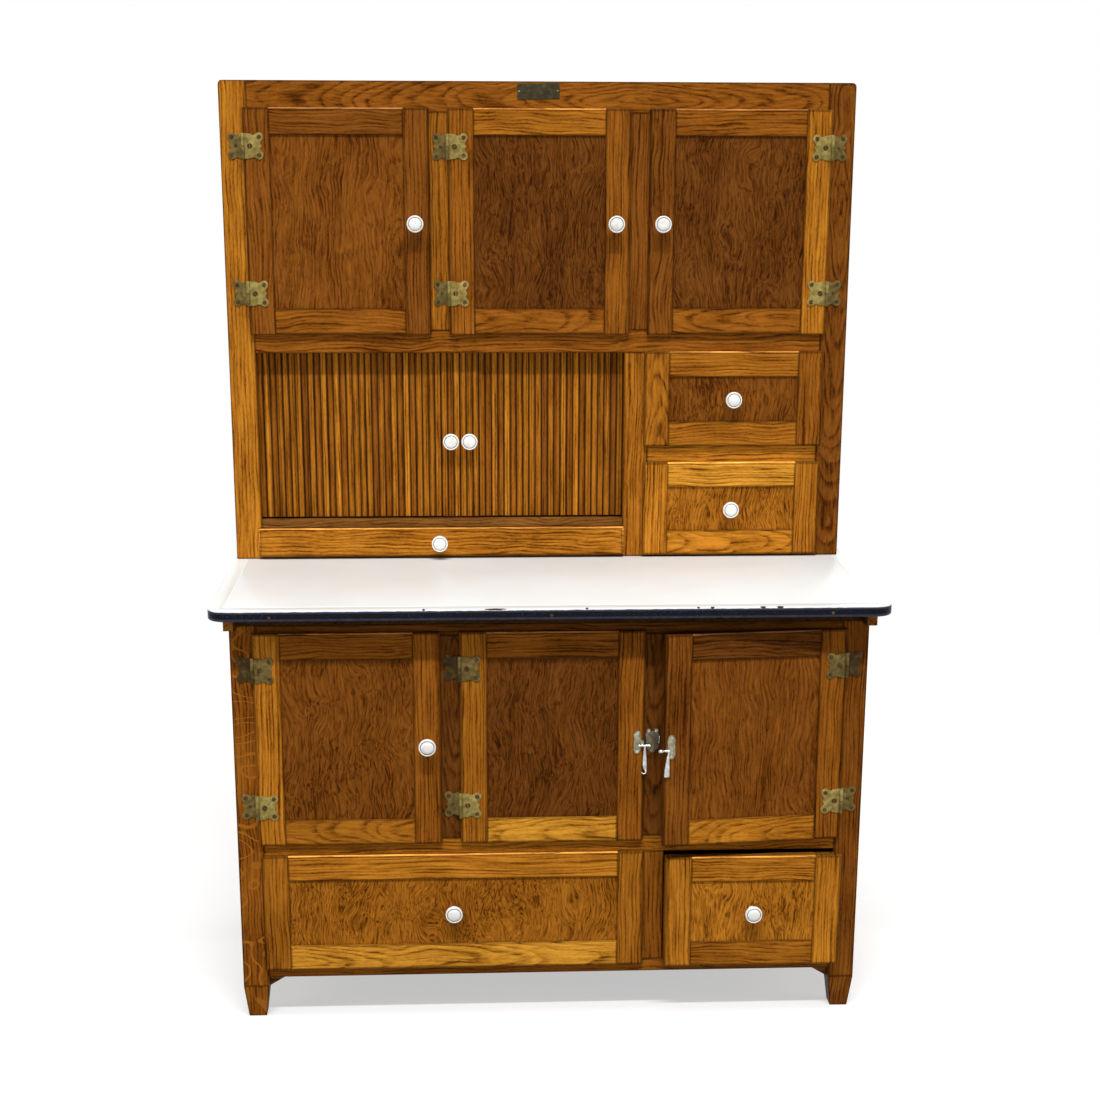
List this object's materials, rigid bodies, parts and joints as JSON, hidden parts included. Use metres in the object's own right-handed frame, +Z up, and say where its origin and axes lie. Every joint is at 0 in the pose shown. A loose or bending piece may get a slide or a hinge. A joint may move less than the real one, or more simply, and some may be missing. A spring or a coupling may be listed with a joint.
{
  "type": "bakers cabinet",
  "caption": "oak kitchen cabinet with panelled doors and drawers below, a sliding enamelled worktop, and a shallower hutch above with cupboards, a tambour and small drawers",
  "frame": {"origin": "bounding box centre in X and Y, and the floor the feet stand on in Z", "axes": "+Z up, +X to the right seen from the front, the front faces -Y"},
  "size_m": [1.27, 0.769, 1.7782],
  "materials": {
    "oak": "golden oak boards, varnished, satin",
    "inner_wood": "plain boards inside and behind, thin finish",
    "enamel": "white vitreous enamel on sheet steel with a dark blue rim, chipped in places",
    "porcelain": "white glazed porcelain, glossy",
    "hinge_metal": "aged brass, tarnished",
    "nickel": "nickel plated, worn bright"
  },
  "bodies": {
    "cabinet": {"base_left_side": "oak", "base_right_side": "oak", "base_face_frame": "oak", "base_back": "inner_wood", "cupboard_floor": "inner_wood", "cupboard_partition": "inner_wood", "drawer_board": "inner_wood", "hutch_left_side": "oak", "hutch_right_side": "oak", "hutch_top_board": "oak", "hutch_back": "inner_wood", "hutch_floor": "inner_wood", "hutch_face_frame": "oak", "hutch_deck": "inner_wood", "hutch_inner_case": "inner_wood", "latch_keeper": "nickel", "hutch_left_door_upper_hinge": "hinge_metal", "hutch_left_door_lower_hinge": "hinge_metal", "hutch_middle_door_upper_hinge": "hinge_metal", "hutch_middle_door_lower_hinge": "hinge_metal", "hutch_right_door_upper_hinge": "hinge_metal", "hutch_right_door_lower_hinge": "hinge_metal", "base_left_door_upper_hinge": "hinge_metal", "base_left_door_lower_hinge": "hinge_metal", "base_middle_door_upper_hinge": "hinge_metal", "base_middle_door_lower_hinge": "hinge_metal", "base_right_door_upper_hinge": "hinge_metal", "base_right_door_lower_hinge": "hinge_metal"},
    "worktop": {"worktop_enamel": "enamel", "worktop_underframe": "inner_wood"},
    "hutch_left_door": {"hutch_left_door": "oak", "hutch_left_door_knob": "porcelain"},
    "hutch_middle_door": {"hutch_middle_door": "oak", "hutch_middle_door_knob": "porcelain"},
    "hutch_right_door": {"hutch_right_door": "oak", "hutch_right_door_knob": "porcelain"},
    "lower_small_drawer": {"lower_small_drawer": "oak", "lower_small_drawer_knob": "porcelain"},
    "upper_small_drawer": {"upper_small_drawer": "oak", "upper_small_drawer_knob": "porcelain"},
    "shallow_drawer": {"shallow_drawer": "oak", "shallow_drawer_knob": "porcelain"},
    "wide_drawer": {"wide_drawer": "oak", "wide_drawer_knob": "porcelain"},
    "narrow_drawer": {"narrow_drawer": "oak", "narrow_drawer_knob": "porcelain"},
    "base_left_door": {"base_left_door": "oak", "base_left_door_knob": "porcelain"},
    "base_middle_door": {"base_middle_door": "oak", "base_middle_door_latch_plate": "nickel"},
    "base_middle_door_latch_lever": {"base_middle_door_latch_lever": "nickel"},
    "base_right_door": {"base_right_door": "oak", "base_right_door_latch_plate": "nickel"},
    "base_right_door_latch_lever": {"base_right_door_latch_lever": "nickel"},
    "left_tambour": {"left_tambour_curtain": "oak", "left_tambour_lead_rail": "oak", "left_tambour_knob": "porcelain"},
    "right_tambour": {"right_tambour_curtain": "oak", "right_tambour_lead_rail": "oak", "right_tambour_knob": "porcelain"}
  },
  "joints": [
    {"name": "hutch_left_door_hinge", "type": "hinge", "parent": "cabinet", "child": "hutch_left_door", "pos_m": [-0.58475, 0.086, 1.5092], "axis": [0, 0, -1], "range_deg": [0, 100]},
    {"name": "hutch_middle_door_hinge", "type": "hinge", "parent": "cabinet", "child": "hutch_middle_door", "pos_m": [-0.18625, 0.086, 1.5092], "axis": [0, 0, -1], "range_deg": [0, 100]},
    {"name": "hutch_right_door_hinge", "type": "hinge", "parent": "cabinet", "child": "hutch_right_door", "pos_m": [0.57475, 0.086, 1.5092], "axis": [0, 0, 1], "range_deg": [0, 100]},
    {"name": "base_left_door_hinge", "type": "hinge", "parent": "cabinet", "child": "base_left_door", "pos_m": [-0.5595, -0.337, 0.569], "axis": [0, 0, -1], "range_deg": [0, 100]},
    {"name": "base_middle_door_hinge", "type": "hinge", "parent": "cabinet", "child": "base_middle_door", "pos_m": [-0.1735, -0.337, 0.569], "axis": [0, 0, -1], "range_deg": [0, 100]},
    {"name": "base_right_door_hinge", "type": "hinge", "parent": "cabinet", "child": "base_right_door", "pos_m": [0.5595, -0.337, 0.569], "axis": [0, 0, 1], "range_deg": [-6, 94]},
    {"name": "lower_small_drawer_slide", "type": "slide", "parent": "cabinet", "child": "lower_small_drawer", "axis": [0, -1, 0], "range_m": [0, 0.2]},
    {"name": "upper_small_drawer_slide", "type": "slide", "parent": "cabinet", "child": "upper_small_drawer", "axis": [0, -1, 0], "range_m": [0, 0.2]},
    {"name": "shallow_drawer_slide", "type": "slide", "parent": "cabinet", "child": "shallow_drawer", "axis": [0, -1, 0], "range_m": [0, 0.2]},
    {"name": "wide_drawer_slide", "type": "slide", "parent": "cabinet", "child": "wide_drawer", "axis": [0, -1, 0], "range_m": [0, 0.45]},
    {"name": "narrow_drawer_slide", "type": "slide", "parent": "cabinet", "child": "narrow_drawer", "axis": [0, -1, 0], "range_m": [-0.015, 0.435]},
    {"name": "worktop_slide", "type": "slide", "parent": "cabinet", "child": "worktop", "axis": [0, -1, 0], "range_m": [0, 0.25]},
    {"name": "base_middle_door_latch_lever_pivot", "type": "hinge", "parent": "base_middle_door", "child": "base_middle_door_latch_lever", "pos_m": [0.163, -0.3385, 0.554], "axis": [0, 1, 0], "range_deg": [0, 45], "stiffness_Nm_per_rad": 0.15},
    {"name": "base_right_door_latch_lever_pivot", "type": "hinge", "parent": "base_right_door", "child": "base_right_door_latch_lever", "pos_m": [0.225, -0.37367, 0.554], "axis": [0.1045, -0.9945, 0], "range_deg": [0, 45], "stiffness_Nm_per_rad": 0.15},
    {"name": "left_tambour_slide", "type": "slide", "parent": "cabinet", "child": "left_tambour", "axis": [-1, 0, 0], "range_m": [0, 0.33], "deforming": ["left_tambour_curtain"]},
    {"name": "right_tambour_slide", "type": "slide", "parent": "cabinet", "child": "right_tambour", "axis": [1, 0, 0], "range_m": [0, 0.25], "deforming": ["right_tambour_curtain"]}
  ]
}
